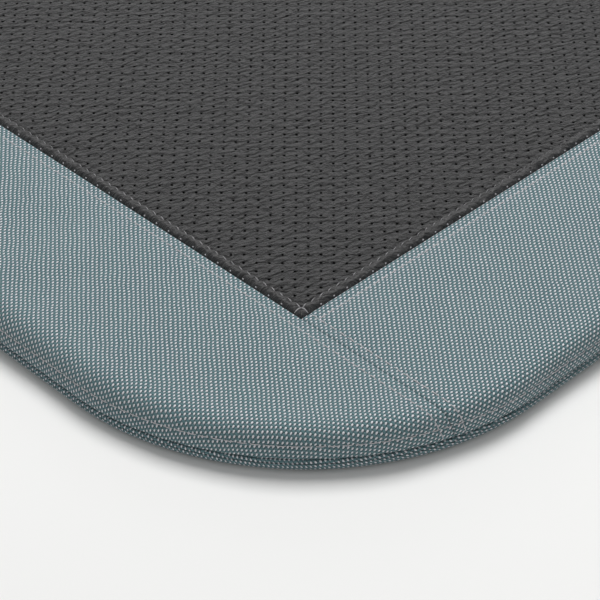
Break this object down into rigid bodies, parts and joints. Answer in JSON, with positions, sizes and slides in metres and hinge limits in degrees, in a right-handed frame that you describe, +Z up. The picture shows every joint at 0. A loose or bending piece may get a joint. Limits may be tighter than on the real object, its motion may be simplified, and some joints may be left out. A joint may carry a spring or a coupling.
{
  "type": "kneeling pad",
  "caption": "Flat padded kneeling mat with rounded corners: woven cloth border sewn round a perforated faux-leather knee panel, foam core, zip closure under it.",
  "frame": {"origin": "middle of the flat underside, on the floor", "axes": "+Z up out of the knee panel, X along the long side, Y along the short side; the zip is on the underside near the +Y (rear) edge"},
  "size_m": [0.48, 0.34, 0.014],
  "materials": {
    "cloth": "matte",
    "hide": "satin",
    "wadding": "matte",
    "foam": "matte",
    "panel_thread": "satin",
    "cloth_thread": "satin",
    "zip_tape": "matte",
    "zip_coil": "satin",
    "zip_metal": "satin"
  },
  "bodies": {
    "pad": {"foam_core": "foam", "panel_wadding": "wadding", "knee_panel": "hide", "front_strip": "cloth", "rear_strip": "cloth", "left_strip": "cloth", "right_strip": "cloth", "base_front": "cloth", "base_rear": "cloth", "front_seam_topstitch": "panel_thread", "rear_seam_topstitch": "panel_thread", "left_seam_topstitch": "panel_thread", "right_seam_topstitch": "panel_thread", "panel_seam_thread": "cloth_thread", "rim_topstitch": "cloth_thread", "rim_seam_thread": "cloth_thread", "zip_topstitch_front": "cloth_thread", "zip_topstitch_rear": "cloth_thread", "base_joint_topstitch": "cloth_thread", "zip_tape_front": "zip_tape", "zip_tape_rear": "zip_tape", "zip_coil_front": "zip_coil", "zip_coil_rear": "zip_coil", "zip_top_stops": "zip_metal", "zip_bottom_stop": "zip_metal"},
    "slider": {"zip_slider": "zip_metal"},
    "pull": {"zip_pull": "zip_metal"}
  },
  "joints": [
    {"name": "slider_slide", "type": "slide", "parent": "pad", "child": "slider", "axis": [-1, 0, 0], "range_m": [0, 0.3142]},
    {"name": "pull_hinge", "type": "hinge", "parent": "slider", "child": "pull", "pos_m": [0.1571, 0.09, 0.00175], "axis": [0, -1, 0], "range_deg": [0, 180]}
  ]
}
